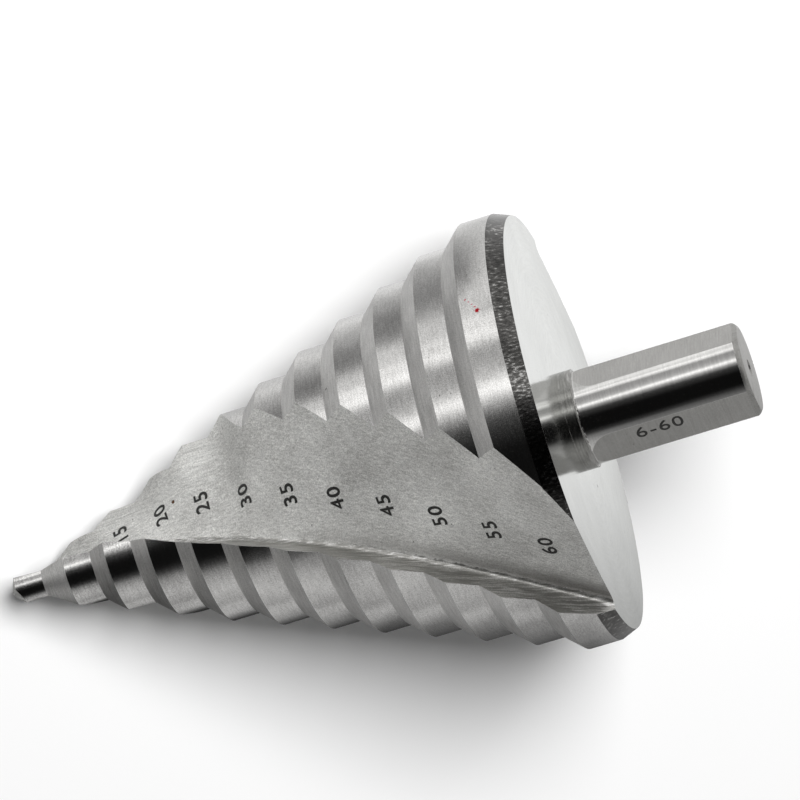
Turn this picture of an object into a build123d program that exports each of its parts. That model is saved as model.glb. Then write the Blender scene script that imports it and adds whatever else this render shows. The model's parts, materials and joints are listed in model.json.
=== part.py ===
from build123d import *
from math import acos, asin, atan2, cos, degrees, hypot, radians, sin, sqrt, tan
from itertools import combinations
import os

# A conical step drill for sheet metal, turned and ground from one bar of
# high-speed steel: twelve steps from 6 to 60 mm, two spiral flutes, and a
# straight shank with three flats for a three-jaw chuck.
#
# The drill is first built standing along +Z, with its point at z = 0 and the
# shank above, and is then laid down as it comes to rest on a bench.

# ---- driving dimensions, in millimetres and degrees --------------------------

# steps
tip_diameter = 6.0
first_step_diameter = 10.0
step_growth = 5.0
step_count = 11
step_pitch = 6.57
band_length = 3.9
tip_length = 5.3
tip_cone_length = 3.9
last_band_length = 4.4

# back of the head
back_chamfer_length = 2.3
back_chamfer_depth = 0.9

# shank
collar_rise = 0.4
collar_length = 1.5
shank_diameter = 13.0
shank_length = 24.8
shank_chamfer = 0.7
flat_depth = 0.76
flat_start = 1.7
flat_run_out = 3.0
flat_turn = 80.0
centre_hole_diameter = 2.4
centre_hole_depth = 2.2

# flutes
flute_lead = 350.0
flute_depth = 4.1
flute_depth_share = 0.70
wall_depths = {3: 2.2, 5: 3.5, 8: 4.75, 13: 6.1, 18: 5.5, 30: 5.4}  # by the drill's radius there
wall_bulge_share = 0.035
web_offset = 1.9
web_offset_share = 0.27
web_lean_tip = -8.0
web_lean_head = 2.0
rake_hook = 10.0
root_fillet_share = 0.30
cutter_clearance = 3.5

# how it lies: the least share of the bench's slant that faces the second flute
flute_width = 52.0
flattest_rest = 0.9

# point: a flat cone behind each lip, and a flank that falls away to the heel
point_cone_height = 1.3
point_heel_height = 2.2
point_lip_to_heel = 90.0

# ---- stations along the drill ------------------------------------------------

step_radii = [(first_step_diameter + step_growth * n) / 2 for n in range(step_count)]
tip_radius = tip_diameter / 2
first_band = tip_length + tip_cone_length
band_starts = [first_band + step_pitch * n for n in range(len(step_radii))]
last_band_end = band_starts[-1] + last_band_length
back_face = last_band_end + back_chamfer_length
shank_end = back_face + shank_length
back_radius = step_radii[-1] - back_chamfer_depth
shank_radius = shank_diameter / 2
collar_radius = shank_radius + collar_rise
flat_distance = shank_radius - flat_depth
envelope_slope = (step_radii[-1] - step_radii[0]) / (band_starts[-1] - band_starts[0])


def envelope_radius(z):
    """Radius of the smooth cone through the middle of every band."""
    middle_of_first = band_starts[0] + band_length / 2
    return max(tip_radius, step_radii[0] + envelope_slope * (z - middle_of_first))


# ---- the turned blank --------------------------------------------------------


def turned_blank():
    """Stepped head, collar and shank, as one revolved outline (radius, height)."""
    collar_end = back_face + collar_length
    outline = [(0, 0), (tip_radius, 0), (tip_radius, tip_length)]
    for radius, start in zip(step_radii, band_starts):
        outline += [(radius, start), (radius, start + band_length)]
    outline[-1] = (step_radii[-1], last_band_end)
    outline += [
        (back_radius, back_face),
        (collar_radius, back_face),
        (collar_radius, collar_end),
    ]
    head = Polyline(outline)
    shoulder = RadiusArc(head @ 1, (shank_radius, collar_end + collar_rise), collar_rise)
    shank = Line(shoulder @ 1, (shank_radius, shank_end - shank_chamfer))
    worn_edge = RadiusArc(shank @ 1, (shank_radius - shank_chamfer, shank_end), -2 * shank_chamfer)
    closing = Polyline(worn_edge @ 1, (0, shank_end), (0, 0))
    profile = make_face([head, shoulder, shank, worn_edge, closing])
    return revolve(Plane.XZ * profile, Axis.Z, 360)


# ---- the flutes --------------------------------------------------------------


def polar(radius, angle):
    """A point of a cross-section, from its radius and its angle in degrees."""
    return Vector(radius * cos(radians(angle)), radius * sin(radians(angle)))


def between(value, low, high, at_low, at_high):
    """Straight-line change from at_low to at_high as value goes low to high."""
    share = min(1.0, max(0.0, (value - low) / (high - low)))
    return at_low + share * (at_high - at_low)


def edge_angle(z):
    """Angle of the cutting edge: a helix, set back from centre near the point."""
    radius = envelope_radius(z)
    offset = between(z, band_starts[1], band_starts[3] + band_length, web_offset, 0.0)
    return 360.0 * z / flute_lead - degrees(asin(min(web_offset_share, offset / radius)))


def wall_depth(radius):
    """How far the wide wall of the flute lies inside the envelope."""
    knots = list(wall_depths)
    below = max([knot for knot in knots[:-1] if knot <= radius], default=knots[0])
    above = knots[knots.index(below) + 1]
    return between(radius, below, above, wall_depths[below], wall_depths[above])


def flute_section(z):
    """Outline of the flute across the drill at height z.

    The narrow wall carries the cutting edge and leans under it by the hook
    angle. A small fillet joins it to the wide wall, which bulges slightly and
    runs out through the heel. The outline closes outside the drill.
    """
    radius = envelope_radius(z)
    depth = min(flute_depth, flute_depth_share * radius)
    edge = polar(radius, edge_angle(z))
    web_lean = between(z, tip_length, band_starts[2], web_lean_tip, web_lean_head)
    hook = rake_hook if web_lean > 0 else 0.0
    root_angle = edge_angle(z) + web_lean + degrees(depth * tan(radians(hook)) / radius) * 0.5
    root = polar(radius - depth, root_angle)
    wall_distance = radius - wall_depth(radius)
    wall_distance = min(wall_distance, 0.99 * (radius - depth))
    wall_normal = root_angle - degrees(acos(wall_distance / (radius - depth)))
    reach = radius + cutter_clearance
    heel = polar(reach, wall_normal - degrees(acos(wall_distance / reach)))
    rake_end = edge + (edge - root).normalized() * cutter_clearance
    wall_middle = (root + heel) * 0.5
    outward = polar(1.0, wall_normal)
    bulge = wall_middle + outward * ((heel - root).length * wall_bulge_share)
    top = polar(reach * 1.35, (root_angle + wall_normal - degrees(acos(wall_distance / reach))) / 2)
    return rake_end, root, bulge, heel, top, depth


def flute_wire(z):
    rake_end, root, bulge, heel, top, depth = flute_section(z)
    fillet_radius = root_fillet_share * depth
    # the fillet meets the narrow wall and the wide wall, drawn as its chord there
    to_rake = (rake_end - root).normalized()
    to_wall = (bulge - root).normalized()
    half = radians(to_rake.get_angle(to_wall)) / 2
    leg = fillet_radius / tan(half)
    middle_leg = fillet_radius / sin(half) - fillet_radius
    towards_middle = (to_rake + to_wall).normalized()
    on_rake = root + to_rake * leg
    on_wall = root + to_wall * leg
    on_fillet = root + towards_middle * middle_leg
    lifted = [Vector(p.X, p.Y, z) for p in (rake_end, on_rake, on_fillet, on_wall, bulge, heel, top)]
    rake_end, on_rake, on_fillet, on_wall, bulge, heel, top = lifted
    edges = [
        Edge.make_line(rake_end, on_rake),
        Edge.make_three_point_arc(on_rake, on_fillet, on_wall),
        Edge.make_three_point_arc(on_wall, bulge, heel),
        Edge.make_line(heel, top),
        Edge.make_line(top, rake_end),
    ]
    return Wire(edges)


def flute_cutter():
    """The space one flute takes, lofted through a section at every step."""
    stations = [-2.0, tip_length / 2, tip_length + tip_cone_length / 2]
    stations += [start + band_length / 2 for start in band_starts]
    stations += [stations[-1] + step_pitch]
    return Solid.make_loft([flute_wire(z) for z in stations])


# ---- the point, the flats and the centre hole --------------------------------


def point_cutter():
    """What grinding takes off in front of the point: a flat cone, and a flank on each side."""
    size = 6 * tip_radius
    lip_cone = Pos(0, 0, point_cone_height) * Cone(0, 2 * tip_radius, 2 * point_cone_height)
    flank_slope = degrees(atan2(point_heel_height, tip_radius))
    heel_turn = edge_angle(0) + point_lip_to_heel
    behind_flank = Pos(0, 0, size / 2) * Box(3 * size, 3 * size, size)
    first = Rot(0, 0, heel_turn) * Rot(0, -flank_slope, 0) * behind_flank
    second = Rot(0, 0, 180) * first
    front_length = 2 * point_cone_height + cutter_clearance
    front = Pos(0, 0, point_cone_height - cutter_clearance / 2) * Box(size, size, front_length)
    return front - (lip_cone & first & second)


def flat_cutter():
    """What a disc cutter removes for one flat, with its own radius where it starts."""
    full_depth = back_face + flat_start + flat_run_out
    cutter_radius = (flat_run_out**2 + flat_depth**2) / (2 * flat_depth)
    clear = collar_radius + collar_rise / 2

    def on_disc(x):
        drop = cutter_radius - (x - flat_distance)
        return (x, 0, full_depth - sqrt(cutter_radius**2 - drop**2))

    top = shank_end + 1
    outline = [
        Polyline((flat_distance, 0, full_depth), (flat_distance, 0, top), (clear, 0, top), on_disc(clear)),
        ThreePointArc(on_disc(clear), on_disc(shank_radius - flat_depth / 2), (flat_distance, 0, full_depth)),
    ]
    return extrude(make_face(outline), shank_diameter, dir=(0, 1, 0), both=True)


def centre_hole():
    """Hole left by the centre drill in the end of the shank."""
    radius = centre_hole_diameter / 2
    hole = make_face(
        Polyline(
            (0, 0, shank_end),
            (radius, 0, shank_end),
            (radius * 0.5, 0, shank_end - radius * 0.87),
            (radius * 0.5, 0, shank_end - centre_hole_depth),
            (0, 0, shank_end - centre_hole_depth),
            close=True,
        )
    )
    return revolve(hole, Axis.Z, 360)


def step_drill():
    drill = turned_blank()
    flute = flute_cutter()
    for turn in (0, 180):
        drill -= Rot(0, 0, turn) * flute
    drill -= point_cutter()
    for turn in (0, 120, 240):
        drill -= Rot(0, 0, flat_turn + turn) * flat_cutter()
    return drill - centre_hole()


def bench_plane(drill):
    """The bench, as the drill settles on its second flute.

    Of all planes through three corners of the steps with the whole drill above
    them, it is the one where the centre of mass stands over the three corners
    and lies lowest.
    """
    second_flute = edge_angle(band_starts[-1]) + 180 - flute_width / 2
    side = polar(1.0, second_flute)
    corners = [Vector(v) for v in drill.vertices() if Vector(v).dot(side) > tip_radius / 2]
    centre = drill.center(CenterOf.MASS)
    best, lowest = None, 2 * step_radii[-1]
    for first, second, third in combinations(corners, 3):
        normal = (second - first).cross(third - first)
        if normal.dot(side) > 0:
            second, third, normal = third, second, -normal
        if normal.length < 1 or normal.normalized().dot(side) > -flattest_rest:
            continue
        up = normal.normalized()
        height = up.dot(centre - first)
        if height >= lowest or any(up.dot(corner - first) < -0.001 for corner in corners):
            continue
        ring = [first, second, third, first]
        if all((b - a).cross(centre - a).dot(up) > 0 for a, b in zip(ring, ring[1:])):
            best, lowest = Plane(origin=first, x_dir=(0, 0, -1), z_dir=up), height
    return best


def laid_down(drill):
    """The drill at rest, first flute up, point towards +X, shank raised towards -X."""
    lying = bench_plane(drill).to_local_coords(drill)
    box = lying.bounding_box()
    return Pos(-box.center().X, -box.center().Y, -box.min.Z) * lying


drill = laid_down(step_drill())
os.makedirs("parts", exist_ok=True)
export_step(drill, "parts/step_drill.step")
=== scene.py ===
# %% [markdown]
# # A step drill, ground from high-speed steel
#
# The drill is one piece of steel: a head of twelve steps with two spiral flutes,
# and a straight shank with three flats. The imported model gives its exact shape.
# This lesson gives each ground, milled and turned surface its own finish, marks
# the step sizes in the flute, and lays the drill on a white table.

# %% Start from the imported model
import json
from math import atan2, cos, degrees, hypot, pi, radians, sin

import bmesh
import bpy
from mathutils import Matrix, Vector


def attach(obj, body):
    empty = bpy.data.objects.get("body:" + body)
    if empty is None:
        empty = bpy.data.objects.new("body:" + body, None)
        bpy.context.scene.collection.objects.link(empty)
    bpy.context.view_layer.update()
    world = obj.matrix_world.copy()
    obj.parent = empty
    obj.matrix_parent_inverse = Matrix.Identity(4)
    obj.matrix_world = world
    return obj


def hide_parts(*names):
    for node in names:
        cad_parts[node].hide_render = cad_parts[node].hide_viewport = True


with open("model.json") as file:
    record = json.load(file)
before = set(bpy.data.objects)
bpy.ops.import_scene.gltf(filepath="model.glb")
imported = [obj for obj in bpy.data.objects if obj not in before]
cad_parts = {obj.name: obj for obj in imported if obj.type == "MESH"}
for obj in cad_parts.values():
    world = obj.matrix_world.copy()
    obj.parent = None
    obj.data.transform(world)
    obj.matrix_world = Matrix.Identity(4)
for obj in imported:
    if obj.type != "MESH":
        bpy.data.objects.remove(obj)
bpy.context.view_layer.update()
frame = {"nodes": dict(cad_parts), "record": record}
MM = 0.001

# %% [markdown]
# ## Where the drill lies
#
# Every finish on a turned part follows its axis, so the first thing to settle is
# the drill's own frame: z along the axis from the point to the shank, and an
# angle round it. The mounts of the record give both. From here on a place on the
# drill is written as height, radius and angle, in millimetres and degrees.

# %% The drill's own frame
# height of the shank's mount above the point, in mm, and the first flat's angle
POINT_TO_FLAT_MIDDLE = 95.3
FLAT_1_ANGLE = 80.0

mounts = {mount["name"]: mount for mount in frame["record"]["mounts"]}
axis = Vector(mounts["shank"]["axis"]).normalized()
flat_out = Vector(mounts["chuck_flat_1"]["axis"])
angle_0 = Matrix.Rotation(radians(-FLAT_1_ANGLE), 3, axis) @ flat_out
angle_0 = (angle_0 - axis * angle_0.dot(axis)).normalized()
angle_90 = axis.cross(angle_0)
point = Vector(mounts["shank"]["pos_m"]) - axis * POINT_TO_FLAT_MIDDLE * MM


def outward(angle):
    """Direction away from the axis at an angle in degrees."""
    return angle_0 * cos(radians(angle)) + angle_90 * sin(radians(angle))


def on_drill(z, radius, angle):
    """A place in the row frame, in metres, from millimetres and degrees."""
    return point + axis * z * MM + outward(angle) * radius * MM


def from_drill(place):
    """Height, radius and angle of a place in the row frame."""
    from_point = (place - point) / MM
    x, y = from_point.dot(angle_0), from_point.dot(angle_90)
    return from_point.dot(axis), hypot(x, y), degrees(atan2(y, x))


print("point at", [round(c / MM, 2) for c in point], "axis", [round(c, 4) for c in axis])

# %% [markdown]
# ## The camera
#
# A long lens, a little over 700 mm away, looks down on the drill from a little
# past its point. The drill lies on its lower flute, so this view faces the upper
# one. The table's +x runs left in the view, and its +y runs down. Three numbers
# give the axis in the view and the turn about it, and three more give the
# point's place before the lens.

# %% The camera
# lens and sensor in mm, and the nearest thing it sees in metres
LENS, SENSOR = 236.1, 36.0
NEAREST_SEEN = 0.01
AXIS_RISE = radians(17.101)
AXIS_LEAN = radians(-10.094)
ANGLE_FACING_LENS = 26.0
# the point's place before the lens, in mm
POINT_RIGHT, POINT_DOWN, POINT_AHEAD = -53.275, 26.502, 721.49

axis_seen = Vector((cos(AXIS_LEAN) * cos(AXIS_RISE), -cos(AXIS_LEAN) * sin(AXIS_RISE), sin(AXIS_LEAN)))
facing_seen = (Vector((0, 0, -1)) - axis_seen * -axis_seen.z).normalized()
below_seen = axis_seen.cross(facing_seen)
facing, below = outward(ANGLE_FACING_LENS), outward(ANGLE_FACING_LENS + 90)
right, down, ahead = (
    axis * axis_seen[i] + facing * facing_seen[i] + below * below_seen[i] for i in range(3)
)

camera_data = bpy.data.cameras.new("camera")
camera_data.lens = LENS
camera_data.sensor_width = SENSOR
camera_data.clip_start = NEAREST_SEEN
camera = bpy.data.objects.new("camera", camera_data)
bpy.context.scene.collection.objects.link(camera)
lens_place = point - (right * POINT_RIGHT + down * POINT_DOWN + ahead * POINT_AHEAD) * MM
camera.matrix_world = Matrix.Translation(lens_place) @ Matrix((right, -down, -ahead)).transposed().to_4x4()
bpy.context.scene.camera = camera
print("camera at", [round(c, 4) for c in lens_place])

# %% [markdown]
# ## Nodes
#
# Every material, the world and the tree that lays the numbers are small graphs.
# One function adds a node, sets its values and links its inputs, and one turns
# the hex colours a designer writes into linear values.


# %% Helpers for nodes
def linear(hex_colour):
    """sRGB hex to linear red, green, blue, alpha."""
    channels = [int(hex_colour[i : i + 2], 16) / 255 for i in (1, 3, 5)]
    return tuple(c / 12.92 if c <= 0.04045 else ((c + 0.055) / 1.055) ** 2.4 for c in channels) + (1,)


def add(tree, kind, settings=None, **inputs):
    """Adds a node, sets its properties, and gives its inputs values or links.

    An input is called by its name, or by i and its number where names repeat. A
    node given as a value stands for its first output.
    """
    node = tree.nodes.new(kind)
    for name, value in (settings or {}).items():
        setattr(node, name, value)
    for name, value in inputs.items():
        numbered = name[0] == "i" and name[1:].isdigit()
        socket = node.inputs[int(name[1:]) if numbered else name.replace("_", " ")]
        if isinstance(value, bpy.types.Node):
            value = value.outputs[0]
        if isinstance(value, bpy.types.NodeSocket):
            tree.links.new(value, socket)
        else:
            socket.default_value = value
    return node


def set_stops(ramp, stops):
    """Gives a colour ramp its stops, as (position, grey level or hex colour)."""
    elements = ramp.color_ramp.elements
    while len(elements) < len(stops):
        elements.new(1.0)
    for element, (position, colour) in zip(elements, stops):
        element.position = position
        element.color = linear(colour) if isinstance(colour, str) else (colour, colour, colour, 1)
    return ramp


# %% [markdown]
# ## Lines that follow the tool
#
# The whole drill is one steel, but the eye tells its surfaces apart by how each
# was made. A grinding wheel leaves fine lines round the lands and the shank, a
# belt leaves long lines down the flutes, and a lathe leaves rings on the back.
# So the pattern is read in coordinates that follow the tool: drawn out round the
# axis, along the flute's helix, along the axis, or in rings about it. Real
# grinding lines are 0.01 to 0.05 mm apart, too fine to see at this distance.
# They are drawn 0.2 to 0.45 mm wide, as coarse as they need to show.

# %% Coordinates along the tool's path
FLUTE_LEAD = 350.0
# rings: a line has its stated length at this radius, and a longer one further out
RING_RADIUS = 6.0


def drill_place(tree):
    """Object coordinates turned into the drill's own frame, in millimetres."""
    turned = Matrix((angle_0, angle_90, axis))
    place = add(tree, "ShaderNodeTexCoord").outputs["Object"]
    return add(
        tree, "ShaderNodeMapping", Vector=place, Location=-(turned @ point) / MM,
        Rotation=turned.to_euler(), Scale=(1 / MM, 1 / MM, 1 / MM),
    )


def along_tool(tree, place, way, length, width):
    """Where a streak pattern is read: length along the tool's lines, width across them, in mm."""
    if way == "rings":
        flat = add(tree, "ShaderNodeVectorMath", {"operation": "MULTIPLY"}, i0=place, i1=(1, 1, 0))
        radius = add(tree, "ShaderNodeVectorMath", {"operation": "LENGTH"}, i0=flat).outputs["Value"]
        turn = add(tree, "ShaderNodeVectorMath", {"operation": "NORMALIZE"}, i0=flat)
        turns = RING_RADIUS / length
        turn = add(tree, "ShaderNodeVectorMath", {"operation": "SCALE"}, i0=turn, Scale=turns)
        ring = add(tree, "ShaderNodeMath", {"operation": "DIVIDE"}, i0=radius, i1=width)
        ring = add(tree, "ShaderNodeCombineXYZ", Z=ring)
        return add(tree, "ShaderNodeVectorMath", {"operation": "ADD"}, i0=turn, i1=ring)
    if way == "flute":
        height = add(tree, "ShaderNodeSeparateXYZ", Vector=place).outputs["Z"]
        twist = add(tree, "ShaderNodeMath", {"operation": "MULTIPLY"}, i0=height, i1=-2 * pi / FLUTE_LEAD)
        place = add(tree, "ShaderNodeVectorRotate", {"rotation_type": "Z_AXIS"}, Vector=place, Angle=twist)
    across, along = (length, width) if way == "round" else (width, length)
    return add(
        tree, "ShaderNodeVectorMath", {"operation": "MULTIPLY"}, i0=place,
        i1=(1 / across, 1 / across, 1 / along),
    )


# %% [markdown]
# ## One steel, many finishes
#
# High-speed steel is a grey metal, with the default index and a colour near that
# of iron. Faces that are only ground or turned are fully metallic. Where oil and
# polish have dried on the steel, the film scatters light as a matt surface does,
# so the flute's wall and the slopes are less metallic. One function builds all
# the finishes, because they differ only in their lines, their grain, their dirt,
# a painted shade along the flute's root, and how far they scatter light. The
# lines and grain shade the colour a little and tilt the surface a little, which
# gives a ground face its sparkle. Tiny pits are cells of a Voronoi pattern with a
# dot in some of them.

# %% Painted root shade, pits and specks
# the root of each flute lies under its cutting edge, at angle 0 once the twist is
# taken off; a quarter turn is added to keep the jump of the modulo away from it
ROOT_AHEAD, PAINTED_SHADE_ANGLE = 90.0, 9.0
# painted shade along the flutes' roots: the heights in mm where it starts and where it is full, and its
# colour
PAINTED_SHADE_START, PAINTED_SHADE_FULL, PAINTED_SHADE_COLOUR = 36.0, 76.0, "#4E4A45"
# one pit at most in each cell, and the share of its radius that is fully dark
PIT_SPACING, PIT_RADIUS, PIT_HEART = 1.7, 0.13, 0.4
PIT_COLOUR = "#4A4844"
# how far a speck fades beyond its size, as a share of it
SPECK_EDGE = 0.25


def root_stain(tree, place, darkest):
    """How much painted shade darkens the wall: along the flutes' roots, and more towards the head's back.
    """
    part = add(tree, "ShaderNodeSeparateXYZ", Vector=place).outputs
    turn = add(tree, "ShaderNodeMath", {"operation": "ARCTAN2"}, i0=part["Y"], i1=part["X"])
    turn = add(
        tree, "ShaderNodeMath", {"operation": "MULTIPLY_ADD"},
        i0=part["Z"], i1=-2 * pi / FLUTE_LEAD, i2=turn,
    )
    turn = add(tree, "ShaderNodeMath", {"operation": "ADD"}, i0=turn, i1=radians(ROOT_AHEAD))
    turn = add(tree, "ShaderNodeMath", {"operation": "FLOORED_MODULO"}, i0=turn, i1=pi)
    near_root = add(
        tree, "ShaderNodeMapRange", {"interpolation_type": "SMOOTHSTEP"}, Value=turn,
        From_Min=radians(ROOT_AHEAD - PAINTED_SHADE_ANGLE), From_Max=radians(ROOT_AHEAD),
    )
    near_back = add(
        tree, "ShaderNodeMapRange", Value=part["Z"], From_Min=PAINTED_SHADE_START, From_Max=PAINTED_SHADE_FULL
    )
    painted_shade = add(tree, "ShaderNodeMath", {"operation": "MULTIPLY"}, i0=near_root, i1=near_back)
    return add(tree, "ShaderNodeMath", {"operation": "MULTIPLY"}, i0=painted_shade, i1=darkest)


def pit_dots(tree, place, share):
    """Dots at the middles of a share of the cells of a Voronoi pattern."""
    cells = add(tree, "ShaderNodeTexVoronoi", Vector=place, Scale=1 / PIT_SPACING).outputs
    chosen = add(tree, "ShaderNodeSeparateXYZ", Vector=cells["Color"]).outputs["X"]
    chosen = add(tree, "ShaderNodeMath", {"operation": "LESS_THAN"}, i0=chosen, i1=share)
    edge = PIT_RADIUS / PIT_SPACING
    dot = add(
        tree, "ShaderNodeMapRange", Value=cells["Distance"], From_Min=edge, From_Max=PIT_HEART * edge
    )
    return add(tree, "ShaderNodeMath", {"operation": "MULTIPLY"}, i0=dot, i1=chosen)


def speck_dot(tree, place, grain, z, radius, angle, size):
    """One ragged dot, about size mm across, at a height, radius and angle on the drill."""
    middle = (radius * cos(radians(angle)), radius * sin(radians(angle)), z)
    away = add(tree, "ShaderNodeVectorMath", {"operation": "DISTANCE"}, i0=place, i1=middle).outputs
    ragged = add(tree, "ShaderNodeMath", {"operation": "MULTIPLY_ADD"}, i0=grain, i1=size, i2=away["Value"])
    return add(
        tree, "ShaderNodeMapRange", Value=ragged, From_Min=size * (1 + SPECK_EDGE), From_Max=size
    )


# %% The steel
# one grain of an 80 grit wheel, and the broad unevenness of polish, in mm
GRAIN_SIZE, CLOUD_SIZE = 0.17, 9.0
# how much of the shade is cloud, and the rest is lines and grain
CLOUD_SHARE = 0.28
# how strongly a noise shows its finer detail
FINE_DETAIL = 0.6
# noise keeps near its middle, so the colours are spread over this part of its range
COLOURS_FROM, COLOURS_OVER = 0.34, 0.32
# radius that use has worn on the edges, in mm
WORN_EDGE = 0.10


def steel(
    name, way, length, width, colours, roughness, spread, tilt,
    grain_share=0.5, pits=0.0, specks=(), metallic=1.0, root_shade=0.0,
):
    """A steel finish.

    Its lines run a certain way, length by width in mm. Its colour goes from the
    first to the last hex colour, and its roughness varies by spread. Tilt is the
    height of the lines and grain in mm, and grain share is how much of both is
    grain. Pits is the share of cells with a dot, and specks are (z, radius,
    angle, size in mm, hex colour) of dirt. Metallic is below 1 where a dry film
    of polish lies on the steel and scatters some light. Root shade is how dark
    the painted shade along the flute's root is.
    """
    material = bpy.data.materials.new(name)
    material.use_nodes = True
    tree = material.node_tree
    surface = tree.nodes["Principled BSDF"]
    surface.inputs["Metallic"].default_value = metallic
    place = drill_place(tree)
    lines_at = along_tool(tree, place, way, length, width)
    lines = add(
        tree, "ShaderNodeTexNoise", Vector=lines_at, Scale=1.0, Detail=3.0, Roughness=FINE_DETAIL
    )
    grain = add(
        tree, "ShaderNodeTexNoise", Vector=place, Scale=1 / GRAIN_SIZE, Detail=1.0, Roughness=FINE_DETAIL
    )
    clouds = add(tree, "ShaderNodeTexNoise", Vector=place, Scale=1 / CLOUD_SIZE, Detail=2.0)
    fine = add(tree, "ShaderNodeMix", i0=grain_share, i2=lines, i3=grain)
    shade = add(tree, "ShaderNodeMix", i0=CLOUD_SHARE, i2=fine, i3=clouds)
    stops = [
        (COLOURS_FROM + COLOURS_OVER * n / (len(colours) - 1), colour) for n, colour in enumerate(colours)
    ]
    colour = set_stops(add(tree, "ShaderNodeValToRGB", Fac=shade), stops).outputs[0]
    marks = []
    # laid over the colour: a painted shade along the flute's root, then pits, then specks of dirt
    if root_shade:
        marks.append((root_stain(tree, place, root_shade), PAINTED_SHADE_COLOUR))
    if pits:
        marks.append((pit_dots(tree, place, pits), PIT_COLOUR))
    marks += [(speck_dot(tree, place, grain, *where), dirt) for *where, dirt in specks]
    for mark, mark_colour in marks:
        colour = add(
            tree, "ShaderNodeMix", {"data_type": "RGBA"}, i0=mark, i6=colour, i7=linear(mark_colour)
        ).outputs[2]
    rough = add(
        tree, "ShaderNodeMath", {"operation": "MULTIPLY_ADD"}, i0=fine, i1=spread, i2=roughness - spread / 2
    )
    edges = add(tree, "ShaderNodeBevel", {"samples": 4}, Radius=WORN_EDGE * MM)
    bump = add(tree, "ShaderNodeBump", Strength=1.0, Distance=tilt * MM, Height=fine, Normal=edges)
    tree.links.new(colour, surface.inputs["Base Color"])
    tree.links.new(rough.outputs[0], surface.inputs["Roughness"])
    tree.links.new(bump.outputs[0], surface.inputs["Normal"])
    return material


# %% [markdown]
# ## The ten finishes
#
# The lands and the shank are ground between centres, so they are nearly mirrors.
# The slopes between the steps are cut by the corner of the same wheel, the
# flutes by a milling cutter and then a belt. The face under each cutting edge is
# ground last, along the flute. The back of the head is faced on the lathe and
# its edge is left rough, because nothing there cuts.

# %% The finishes, from the point to the end of the shank
# dirt, as height, radius, angle, size and colour; the red speck trails a hair
RED_SPECK = [
    (77.17, 30.0, -10.7, 0.5, "#A01822"), (76.95, 30.0, -12.0, 0.2, "#B8606A"),
    (76.6, 30.0, -13.0, 0.18, "#C08088"), (76.2, 30.0, -14.0, 0.18, "#C08088"),
    (75.82, 30.0, -15.0, 0.2, "#B8606A"),
]
BLACK_SPOT = (53.24, 20.66, -16.5, 0.3, "#262422")
BROWN_DOT = (26.14, 6.47, -31.9, 0.42, "#5A3A20")
BACK_DOT = (81.6, 9.74, 132.9, 0.4, "#55524E")

# cylindrical grinding: lines 2 mm long round the axis; it mirrors the lamps as soft bands
land = steel(
    "cylindrical_ground_steel", "round", 2.0, 0.22, ("#A6A5A3", "#E6E5E3"), 0.17, 0.08, 0.004,
    grain_share=0.6, pits=0.25, specks=RED_SPECK,
)
# the same wheel on a plain bar: finer, longer lines, and the sharpest bands of all
shank_steel = steel(
    "ground_shank_steel", "round", 5.0, 0.25, ("#B9B8B6", "#D4D3D1"), 0.12, 0.02, 0.0003,
    grain_share=0.4, pits=0.03,
)
# cut by the wheel's corner, which wears: a dull even grey beside the bright land
slope_steel = steel(
    "wheel_corner_ground_steel", "round", 3.0, 0.25, ("#9C9B99", "#DCDBD9"), 0.42, 0.1, 0.003, pits=0.06,
    specks=[BLACK_SPOT], metallic=0.88,
)
# milled, then polished with a soft belt: a satin that hardly mirrors anything, pitted,
# and darkened along its root by a painted shade
wall = steel(
    "belt_polished_flute_steel", "flute", 7.0, 0.3, ("#A3A29F", "#FFFFFC"), 0.72, 0.1, 0.012,
    grain_share=0.55, pits=0.25, specks=[BROWN_DOT], metallic=0.62, root_shade=0.75,
)
# ground along the flute to sharpen the edge: long bright and dark streaks
rake = steel(
    "edge_ground_steel", "flute", 14.0, 0.3, ("#7C7B77", "#A5A4A0", "#FAF9F7"), 0.30, 0.14, 0.008,
    grain_share=0.25, metallic=0.9,
)
# faced on a lathe with a fine feed: pale, with faint rings
back = steel(
    "faced_steel", "rings", 1.0, 0.45, ("#C4C6C3", "#E6E8E5"), 0.13, 0.06, 0.0006,
    grain_share=0.6, pits=0.12, specks=[BACK_DOT],
)
# turned with a chattering tool: short coarse marks along the axis that sparkle
chamfer = steel(
    "rough_turned_steel", "axial", 1.6, 0.3, ("#30302F", "#454443", "#62615F", "#D0CFCD"),
    0.22, 0.16, 0.02, grain_share=0.15,
)
# turned beside the head and not ground: duller and darker than the shank
collar = steel(
    "turned_collar_steel", "round", 3.0, 0.3, ("#6E6D6A", "#B4B3B0"), 0.19, 0.08, 0.002,
    grain_share=0.3,
)
# milled across with a disc cutter: a flat satin
flat_steel = steel(
    "milled_flat_steel", "round", 4.0, 0.22, ("#999895", "#B4B3B0"), 0.26, 0.05, 0.002, pits=0.06,
)
# parted off and centre-drilled: dull rings
end_steel = steel("parted_end_steel", "rings", 1.0, 0.35, ("#8B8A87", "#B5B4B1"), 0.4, 0.1, 0.004)

STEELS = [land, shank_steel, slope_steel, wall, rake, back, chamfer, collar, flat_steel, end_steel]
LAND, SHANK, SLOPE, WALL, RAKE, BACK, CHAMFER, COLLAR, FLAT, END = range(len(STEELS))
print(len(STEELS), "finishes:", ", ".join(finish.name for finish in STEELS))

# %% [markdown]
# ## The drill itself
#
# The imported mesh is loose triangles. A copy of it is merged, so that curved
# faces shade smoothly, and its edges stay sharp where two operations of the
# workshop meet. It could be modelled afresh, but this shape is exact already, so
# only its finishes are new. Each face finds its finish from where it lies on the
# drill and which way it faces, as an inspector would name it.

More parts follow.
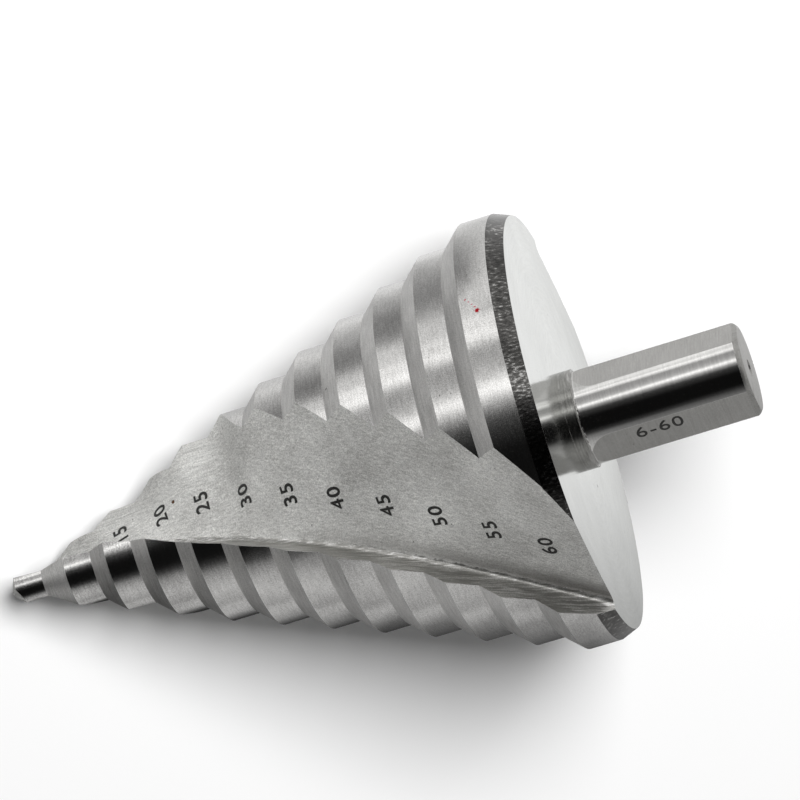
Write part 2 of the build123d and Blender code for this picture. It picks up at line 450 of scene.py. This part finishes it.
# %% Sizes that tell one surface from another
STEP_PITCH, BAND_LENGTH, FIRST_BAND = 6.57, 3.9, 9.2
FIRST_STEP, STEP_GROWTH, STEP_COUNT = 10, 5, 11
STEP_SIZES = [FIRST_STEP + STEP_GROWTH * n for n in range(STEP_COUNT)]
TIP_RADIUS, TIP_LENGTH = 3.0, 5.3
LAST_BAND_END, BACK_FACE, BACK_CHAMFER = 79.3, 81.6, 0.9
COLLAR_END, COLLAR_SHOULDER = 83.1, 0.3
SHANK_RADIUS, SHANK_END, SHANK_CHAMFER, FLAT_SUNK = 6.5, 106.4, 0.7, 0.1
HOLE_REACH = SHANK_RADIUS / 3
NEAR = 0.06
# how squarely a face has to face a direction, as a cosine
SQUARE, BAND_SQUARE, SLOPE_SQUARE, RAKE_SQUARE = 0.9, 0.95, 0.5, 0.6


def turned_radius(z):
    """Radius of the turned head at a height, and the finish it has there."""
    if z > LAST_BAND_END:
        taper = BACK_CHAMFER / (BACK_FACE - LAST_BAND_END)
        return STEP_SIZES[-1] / 2 - (z - LAST_BAND_END) * taper, CHAMFER
    if z < TIP_LENGTH:
        return TIP_RADIUS, LAND
    step = min(int((z - FIRST_BAND) // STEP_PITCH), len(STEP_SIZES) - 1)
    if step < 0:
        share = (z - TIP_LENGTH) / (FIRST_BAND - TIP_LENGTH)
        return TIP_RADIUS + share * (STEP_SIZES[0] / 2 - TIP_RADIUS), SLOPE
    past_band = z - FIRST_BAND - step * STEP_PITCH - BAND_LENGTH
    if past_band < NEAR or step == len(STEP_SIZES) - 1:
        return STEP_SIZES[step] / 2, LAND
    return STEP_SIZES[step] / 2 + past_band * STEP_GROWTH / 2 / (STEP_PITCH - BAND_LENGTH), SLOPE


def finish_of(centre, normal):
    """Which finish a face has, from its centre and its outward direction."""
    z, radius, angle = from_drill(centre)
    along, out, round_it = (normal.dot(way) for way in (axis, outward(angle), outward(angle + 90)))
    if z > BACK_FACE + NEAR:
        if along > SQUARE or radius < HOLE_REACH or z > SHANK_END - SHANK_CHAMFER:
            return END
        if z < COLLAR_END + COLLAR_SHOULDER and radius > SHANK_RADIUS - NEAR:
            return COLLAR
        return FLAT if radius < SHANK_RADIUS - FLAT_SUNK else SHANK
    if z > BACK_FACE - NEAR and along > SQUARE:
        return BACK
    turned, finish = turned_radius(z)
    if abs(radius - turned) < 2 * NEAR and out > (BAND_SQUARE if finish == LAND else SLOPE_SQUARE):
        return finish
    return RAKE if round_it < -RAKE_SQUARE and z > TIP_LENGTH else WALL


# %% Finish every face
MERGE_WITHIN = 0.002
SHARP_ANGLE = radians(24)


def link_piece(name, mesh):
    """Puts a finished mesh in the scene as a piece that belongs to the drill."""
    piece = bpy.data.objects.new(name, mesh)
    bpy.context.scene.collection.objects.link(piece)
    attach(piece, "root")
    return piece


drill_mesh = frame["nodes"]["step_drill"].data.copy()
drill_mesh.name = "drill_body"
drill_mesh.materials.clear()
for finish in STEELS:
    drill_mesh.materials.append(finish)
shape = bmesh.new()
shape.from_mesh(drill_mesh)
bmesh.ops.remove_doubles(shape, verts=shape.verts, dist=MERGE_WITHIN * MM)
for face in shape.faces:
    face.smooth = True
    face.material_index = finish_of(face.calc_center_median(), face.normal)
for edge in shape.edges:
    edge.smooth = edge.calc_face_angle(0.0) < SHARP_ANGLE
shape.to_mesh(drill_mesh)
open_edges = sum(1 for edge in shape.edges if not edge.is_manifold)
shape.free()
drill = link_piece("drill_body", drill_mesh)
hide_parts("step_drill")
counts = [sum(1 for face in drill_mesh.polygons if face.material_index == i) for i in range(len(STEELS))]
print("faces by finish:", dict(zip([finish.name for finish in STEELS], counts)), "open edges", open_edges)

# %% [markdown]
# ## The numbers in the flute
#
# Each step's diameter in millimetres is marked in the flute beside it, and the
# drill's whole range on a flat of the shank. A laser burns them, which leaves a
# black oxide with hardly any depth. They could be painted in the material, but
# an outline stays crisp at any distance, so they are cut from flat curves and
# laid on the steel. A number repeats along the flute by one rule, and follows a
# curved wall, which is work for Geometry Nodes: the tree writes the text, fills
# it, and drops each point of it onto the drill.

# %% The mark of the laser
BURNT_ROUGHNESS = 0.6
BURNT_COLOURS = [(0.35, "#0E0E0D"), (0.7, "#2B2A28")]

# black iron oxide, matt and slightly uneven: reads as black on the pale wall
laser_black = bpy.data.materials.new("laser_burnt_oxide")
laser_black.use_nodes = True
tree = laser_black.node_tree
surface = tree.nodes["Principled BSDF"]
surface.inputs["Roughness"].default_value = BURNT_ROUGHNESS
burnt = add(tree, "ShaderNodeTexNoise", Vector=drill_place(tree), Scale=1 / GRAIN_SIZE, Detail=2.0)
burnt = set_stops(add(tree, "ShaderNodeValToRGB", Fac=burnt), BURNT_COLOURS)
tree.links.new(burnt.outputs[0], surface.inputs["Base Color"])

# %% A tree that lays text on the steel
# mm: how far the text stands off the steel, and how far above it the drop starts
LAID_PROUD, DROP_HEIGHT = 0.02, 2.0
LETTER_SPACING = 1.15
TEXT_INPUTS = {
    "Text": "NodeSocketString", "Size": "NodeSocketFloat", "Boldness": "NodeSocketFloat",
    "Place": "NodeSocketVector", "Reading": "NodeSocketVector", "Tops": "NodeSocketVector",
    "Outward": "NodeSocketVector", "Steel": "NodeSocketObject", "Material": "NodeSocketMaterial",
}

text_tree = bpy.data.node_groups.new("text_on_steel", "GeometryNodeTree")
text_tree.is_modifier = True
sockets = text_tree.interface
text_sockets = {
    name: sockets.new_socket(name, in_out="INPUT", socket_type=kind).identifier
    for name, kind in TEXT_INPUTS.items()
}
sockets.new_socket("Geometry", in_out="OUTPUT", socket_type="NodeSocketGeometry")
print("text tree inputs:", ", ".join(TEXT_INPUTS))

# %% Write the text, make it bolder and fill it
tree = text_tree
given = add(tree, "NodeGroupInput").outputs
written = add(
    tree, "GeometryNodeStringToCurves", {"align_x": "CENTER", "align_y": "MIDDLE"},
    String=given["Text"], Size=given["Size"], Character_Spacing=LETTER_SPACING,
)
outline = add(tree, "GeometryNodeRealizeInstances", Geometry=written)
outline = add(tree, "GeometryNodeResampleCurve", {"mode": "EVALUATED"}, Curve=outline)
sideways = add(
    tree, "ShaderNodeVectorMath", {"operation": "CROSS_PRODUCT"}, i0=add(tree, "GeometryNodeInputTangent"),
    i1=(0, 0, 1),
)
sideways = add(
    tree, "ShaderNodeVectorMath", {"operation": "SCALE"}, Vector=sideways, Scale=given["Boldness"]
)
outline = add(tree, "GeometryNodeSetPosition", Geometry=outline, Offset=sideways)
filled = add(tree, "GeometryNodeFillCurve", {"mode": "TRIANGLES"}, Curve=outline)
split = add(tree, "GeometryNodeSubdivideMesh", Mesh=filled, Level=1)

# %% Turn the page towards the steel, and drop each point onto it
page = add(tree, "ShaderNodeSeparateXYZ", Vector=add(tree, "GeometryNodeInputPosition")).outputs
across = add(tree, "ShaderNodeVectorMath", {"operation": "SCALE"}, Vector=given["Reading"], Scale=page["X"])
up_page = add(tree, "ShaderNodeVectorMath", {"operation": "SCALE"}, Vector=given["Tops"], Scale=page["Y"])
in_plane = add(tree, "ShaderNodeVectorMath", {"operation": "ADD"}, i0=across, i1=up_page)
turned = add(tree, "ShaderNodeVectorMath", {"operation": "ADD"}, i0=in_plane, i1=given["Place"])
lift = add(
    tree, "ShaderNodeVectorMath", {"operation": "SCALE"}, Vector=given["Outward"], Scale=DROP_HEIGHT * MM
)
above = add(tree, "ShaderNodeVectorMath", {"operation": "ADD"}, i0=turned, i1=lift)
inward = add(tree, "ShaderNodeVectorMath", {"operation": "SCALE"}, Vector=given["Outward"], Scale=-1.0)
steel_shape = add(tree, "GeometryNodeObjectInfo", Object=given["Steel"]).outputs["Geometry"]
hit = add(
    tree, "GeometryNodeRaycast", Target_Geometry=steel_shape, Source_Position=above, Ray_Direction=inward,
    Ray_Length=2 * DROP_HEIGHT * MM,
).outputs
proud = add(
    tree, "ShaderNodeVectorMath", {"operation": "SCALE"}, Vector=hit["Hit Normal"], Scale=LAID_PROUD * MM
)
landed = add(tree, "ShaderNodeVectorMath", {"operation": "ADD"}, i0=hit["Hit Position"], i1=proud)
laid = add(tree, "GeometryNodeSetPosition", Geometry=split, Position=landed)
realized = add(tree, "GeometryNodeRealizeInstances", Geometry=laid)
coated = add(tree, "GeometryNodeSetMaterial", Geometry=realized, Material=given["Material"])
tree.links.new(coated.outputs[0], add(tree, "NodeGroupOutput").inputs["Geometry"])
print("text tree:", len(tree.nodes), "nodes")


# %% Write and lay
def write_on_steel(piece_shape, text, size, boldness, place, reading, out):
    """Adds the mesh of one text, laid on the steel at a place, to a bmesh."""
    out = (out - reading * out.dot(reading)).normalized()
    writer = bpy.data.objects.new("writer", bpy.data.meshes.new("writer"))
    bpy.context.scene.collection.objects.link(writer)
    laying = writer.modifiers.new("lay", "NODES")
    laying.node_group = text_tree
    values = {
        "Text": text, "Size": size * MM, "Boldness": boldness * MM, "Place": place, "Reading": reading,
        "Tops": out.cross(reading), "Outward": out, "Steel": drill, "Material": laser_black,
    }
    for name, value in values.items():
        laying[text_sockets[name]] = list(value) if isinstance(value, Vector) else value
    evaluated = writer.evaluated_get(bpy.context.evaluated_depsgraph_get())
    mesh = bpy.data.meshes.new_from_object(evaluated)
    piece_shape.from_mesh(mesh)
    bpy.data.objects.remove(writer)
    return mesh


# a radius outside the head, in mm
OUTSIDE = 40


def surface_at(z, angle):
    """Where a line towards the axis first meets the drill, and which way it faces there."""
    _, place, normal, _ = drill.ray_cast(on_drill(z, OUTSIDE, angle), -outward(angle))
    return place, normal


# %% The step sizes
NUMBER_SIZE, NUMBER_BOLDNESS = 2.95, 0.07
NUMBER_BEHIND_BAND = 1.6
# mm along the wall's arc, from the cutting edge to the first number, and more for each after it
FIRST_NUMBER_ARC, ARC_GROWTH = 4.5, 0.4
# the arc needs the wall's radius, which depends on the angle, so the two are settled in
# rounds, from a first guess of some degrees for each mm of arc
FIRST_GUESS, ROUNDS = 2, 6

numbers = bmesh.new()
for step, diameter in enumerate(STEP_SIZES[1:], start=1):
    z = FIRST_BAND + step * STEP_PITCH + NUMBER_BEHIND_BAND
    edge_turn = 360 * z / FLUTE_LEAD
    arc = FIRST_NUMBER_ARC + ARC_GROWTH * (step - 1)
    angle = edge_turn - FIRST_GUESS * arc
    for _ in range(ROUNDS):
        wall_place, wall_faces = surface_at(z, angle)
        angle = edge_turn - degrees(arc / from_drill(wall_place)[1])
    reading = -outward(angle + 90)
    reading = (reading - wall_faces * reading.dot(wall_faces)).normalized()
    mesh = write_on_steel(
        numbers, str(diameter), NUMBER_SIZE, NUMBER_BOLDNESS, wall_place, reading, wall_faces
    )
    print(diameter, "at", [round(c, 2) for c in from_drill(wall_place)], len(mesh.polygons), "faces")

# %% [markdown]
# ## The range on the flat
#
# The flat that faces the lens carries the smallest and the largest size. It could
# be a piece of its own, but the same laser burns it, so the same tree lays it and
# it joins the numbers in one mesh.

# %% The range
RANGE_SIZE, RANGE_BOLDNESS = 3.3, 0.02
# its height on the drill, its shift across the flat, and the flat's distance from the axis
RANGE_Z, RANGE_SHIFT, FLAT_DISTANCE = 93.0, 1.1, 5.74

flat_middle = on_drill(RANGE_Z, FLAT_DISTANCE, FLAT_1_ANGLE)
range_place = flat_middle - outward(FLAT_1_ANGLE + 90) * RANGE_SHIFT * MM
write_on_steel(numbers, "6-60", RANGE_SIZE, RANGE_BOLDNESS, range_place, axis.copy(), outward(FLAT_1_ANGLE))

number_mesh = bpy.data.meshes.new("step_numbers")
number_mesh.materials.append(laser_black)
numbers.to_mesh(number_mesh)
numbers.free()
for face in number_mesh.polygons:
    face.material_index = 0
link_piece("step_numbers", number_mesh)
print("step_numbers:", len(number_mesh.polygons), "faces")

# %% [markdown]
# ## The room
#
# A ground cylinder is a mirror drawn out along its axis: what the eye reads as
# "steel" is the row of bright and dark bands that the room leaves on it. Three
# narrow strip lights on one side, a dark room behind the lens and a grey glow on
# the other side give the bands. All of it is a ring of light round the drill's
# axis, so it is a ramp over the angle round that axis. It could be a room of
# lamps and cards, but a ramp has no noise, and each band has a number. A surface
# mirrors the ring at twice the angle it faces, counted from the lens towards +y.
# Only mirrors and glass see the ring: the camera sees white, and matt surfaces a
# faint even light.

# %% The world
# brightness by the angle round the axis, in degrees from the lens towards +y
RING_OF_LIGHT = [
    (-180, 1.0), (-84, 0.95), (-77, 0.6), (-72, 0.7), (-68, 1.7), (-64, 0.9), (-60, 1.9), (-52, 0.45),
    (-43, 0.55), (-35, 0.8), (-29, 2.0), (-23, 0.6), (-15, 0.06), (0, 0.006), (30, 0.006), (39, 0.05),
    (50, 0.36), (62, 0.55), (76, 0.68), (92, 0.56), (108, 0.4), (180, 1.0),
]
# a ramp holds levels up to 1, so the ring is divided by this and its light multiplied
BRIGHTEST = 2.0
# what lights matt surfaces from all sides, beside the lamp
EVEN_LIGHT = 0.08
WHITE = (1, 1, 1, 1)

world = bpy.data.worlds.new("studio")
bpy.context.scene.world = world
world.use_nodes = True
tree = world.node_tree
tree.nodes.clear()
direction = add(tree, "ShaderNodeTexCoord").outputs["Generated"]
to_facing, to_below = (
    add(tree, "ShaderNodeVectorMath", {"operation": "DOT_PRODUCT"}, i0=direction, i1=way).outputs["Value"]
    for way in (facing, below)
)
turn = add(tree, "ShaderNodeMath", {"operation": "ARCTAN2"}, i0=to_below, i1=to_facing)
# from -pi..pi to the ramp's 0..1
turn = add(tree, "ShaderNodeMath", {"operation": "MULTIPLY_ADD"}, i0=turn, i1=0.5 / pi, i2=0.5)
ring = set_stops(
    add(tree, "ShaderNodeValToRGB", Fac=turn),
    [((angle + 180) / 360, level / BRIGHTEST) for angle, level in RING_OF_LIGHT],
)
ring = add(tree, "ShaderNodeBackground", Color=ring, Strength=BRIGHTEST)
even = add(tree, "ShaderNodeBackground", Color=WHITE, Strength=EVEN_LIGHT)
white = add(tree, "ShaderNodeBackground", Color=WHITE, Strength=1.0)
path = add(tree, "ShaderNodeLightPath").outputs
mirrored = add(
    tree, "ShaderNodeMath", {"operation": "ADD"}, i0=path["Is Glossy Ray"], i1=path["Is Transmission Ray"]
)
round_drill = add(tree, "ShaderNodeMixShader", i0=mirrored, i1=even, i2=ring)
seen = add(tree, "ShaderNodeMixShader", i0=path["Is Camera Ray"], i1=round_drill, i2=white)
add(tree, "ShaderNodeOutputWorld", Surface=seen)
print("ring of light:", len(RING_OF_LIGHT), "stops, brightest", BRIGHTEST)

# %% [markdown]
# ## The table
#
# White paper on a table. It keeps the drill's soft shadow, and glows a little so
# that it is white where the shadow ends. Further out it is a lit backdrop, white
# by itself. The steel mirrors the paper too. How bright it is there is set by a
# ramp across it: bright on the lamp's side of the head, dark under the head and
# on its shadow's side, and pale beyond the back of the head. Mirroring the paper
# as it is would be simpler, but a white sheet fills a mirror with white, and the
# steps would lose the dark sides that show their shape.

# %% White paper
# in metres
HALF_TABLE = 1.6
PAPER_COLOUR = "#EDEDED"
PAPER_GLOW = 0.05
# distance from the middle, in metres, over which the paper becomes a lit backdrop
WHITE_FROM, WHITE_FULL = 0.10, 0.32
# the width of paper that the ramps stand for, in metres
SHADE_SPAN = 0.5
# how bright the paper is in the steel, by its distance from the axis towards +y, in mm
PAPER_IN_STEEL = [
    (-180, 0.95), (-120, 0.5), (-80, 0.3), (-58, 0.36), (-40, 0.6), (-28, 0.95), (-10, 0.5), (8, 0.03),
    (32, 0.04), (60, 0.13), (110, 0.3), (240, 0.45),
]
# and beyond the head's back face, under the shank, which starts between these two x
BEYOND_IN_STEEL = [(-100, 0.95), (14, 0.95), (44, 0.45), (140, 0.5)]
HEAD_END, BEYOND_HEAD = -22.0, -40.0
# and the lit corner beside the point, towards +x and +y
CORNER_START, CORNER_FULL = {"X": 8.0, "Y": 26.0}, {"X": 34.0, "Y": 52.0}
CORNER_LEVEL = 0.6

table_mesh = bpy.data.meshes.new("table")
corners = [(x * HALF_TABLE, y * HALF_TABLE, 0) for x, y in ((-1, -1), (1, -1), (1, 1), (-1, 1))]
table_mesh.from_pydata(corners, [], [(0, 1, 2, 3)])
table = bpy.data.objects.new("table", table_mesh)
bpy.context.scene.collection.objects.link(table)

paper = bpy.data.materials.new("white_paper")
paper.use_nodes = True
tree = paper.node_tree
tree.nodes.clear()
matt = add(tree, "ShaderNodeBsdfDiffuse", Color=linear(PAPER_COLOUR))
glow = add(tree, "ShaderNodeEmission", Color=WHITE, Strength=PAPER_GLOW)
near = add(tree, "ShaderNodeAddShader", i0=matt, i1=glow)
place = add(tree, "ShaderNodeTexCoord").outputs["Object"]
far = add(tree, "ShaderNodeVectorMath", {"operation": "LENGTH"}, i0=place).outputs["Value"]
far = add(
    tree, "ShaderNodeMapRange", {"interpolation_type": "SMOOTHSTEP"}, Value=far,
    From_Min=WHITE_FROM, From_Max=WHITE_FULL,
)
backdrop = add(tree, "ShaderNodeEmission", Color=WHITE, Strength=1.0)
lit = add(tree, "ShaderNodeMixShader", i0=far, i1=near, i2=backdrop)
print("table", 2 * HALF_TABLE, "m square")

# %% The paper as the steel mirrors it
part = add(tree, "ShaderNodeSeparateXYZ", Vector=place).outputs
aside = add(tree, "ShaderNodeMath", {"operation": "MULTIPLY_ADD"}, i0=part["Y"], i1=1 / SHADE_SPAN, i2=0.5)
beside_head, beyond_head = (
    set_stops(
        add(tree, "ShaderNodeValToRGB", Fac=aside),
        [(y * MM / SHADE_SPAN + 0.5, level) for y, level in levels],
    )
    for levels in (PAPER_IN_STEEL, BEYOND_IN_STEEL)
)
beyond = add(
    tree, "ShaderNodeMapRange", Value=part["X"], From_Min=HEAD_END * MM, From_Max=BEYOND_HEAD * MM
)
in_steel = add(
    tree, "ShaderNodeMix", {"data_type": "RGBA"}, i0=beyond, i6=beside_head, i7=beyond_head
).outputs[2]
corner_x, corner_y = (
    add(
        tree, "ShaderNodeMapRange", Value=part[way],
        From_Min=CORNER_START[way] * MM, From_Max=CORNER_FULL[way] * MM,
    )
    for way in "XY"
)
corner = add(tree, "ShaderNodeMath", {"operation": "MULTIPLY"}, i0=corner_x, i1=corner_y)
in_steel = add(
    tree, "ShaderNodeMix", {"data_type": "RGBA"}, i0=corner, i6=in_steel, i7=(CORNER_LEVEL,) * 3 + (1,)
).outputs[2]
in_steel = add(tree, "ShaderNodeEmission", Color=in_steel, Strength=1.0)
path = add(tree, "ShaderNodeLightPath").outputs
mirrored = add(
    tree, "ShaderNodeMath", {"operation": "ADD"}, i0=path["Is Glossy Ray"], i1=path["Is Transmission Ray"]
)
paper_seen = add(tree, "ShaderNodeMixShader", i0=mirrored, i1=lit, i2=in_steel)
add(tree, "ShaderNodeOutputMaterial", Surface=paper_seen)
table_mesh.materials.append(paper)
print("paper:", len(tree.nodes), "nodes")

# %% [markdown]
# ## The lamp
#
# One large soft lamp stands high, towards -y and the shank. It lights the paper
# and throws the drill's soft shadow towards +y. The steel doesn't mirror it,
# because the ring already holds every lamp that the steel shows.

# %% The lamp
# metres and watts, and the height on the drill that the lamp faces, in mm
LAMP_DISTANCE, LAMP_WIDTH, LAMP_POWER = 0.9, 0.44, 10.9
AIMED_AT_Z = 55
TOWARDS_LAMP = Vector((-0.24, -0.42, 0.875)).normalized()

lamp_data = bpy.data.lights.new("soft_lamp", "AREA")
lamp_data.shape = "SQUARE"
lamp_data.size = LAMP_WIDTH
lamp_data.energy = LAMP_POWER
lamp = bpy.data.objects.new("soft_lamp", lamp_data)
bpy.context.scene.collection.objects.link(lamp)
lamp.location = on_drill(AIMED_AT_Z, 0, 0) + TOWARDS_LAMP * LAMP_DISTANCE
lamp.rotation_mode = "QUATERNION"
lamp.rotation_quaternion = TOWARDS_LAMP.to_track_quat("Z", "Y")
lamp.visible_glossy = False

bpy.context.scene.view_settings.view_transform = "Standard"
print("lamp at", [round(c, 3) for c in lamp.location])
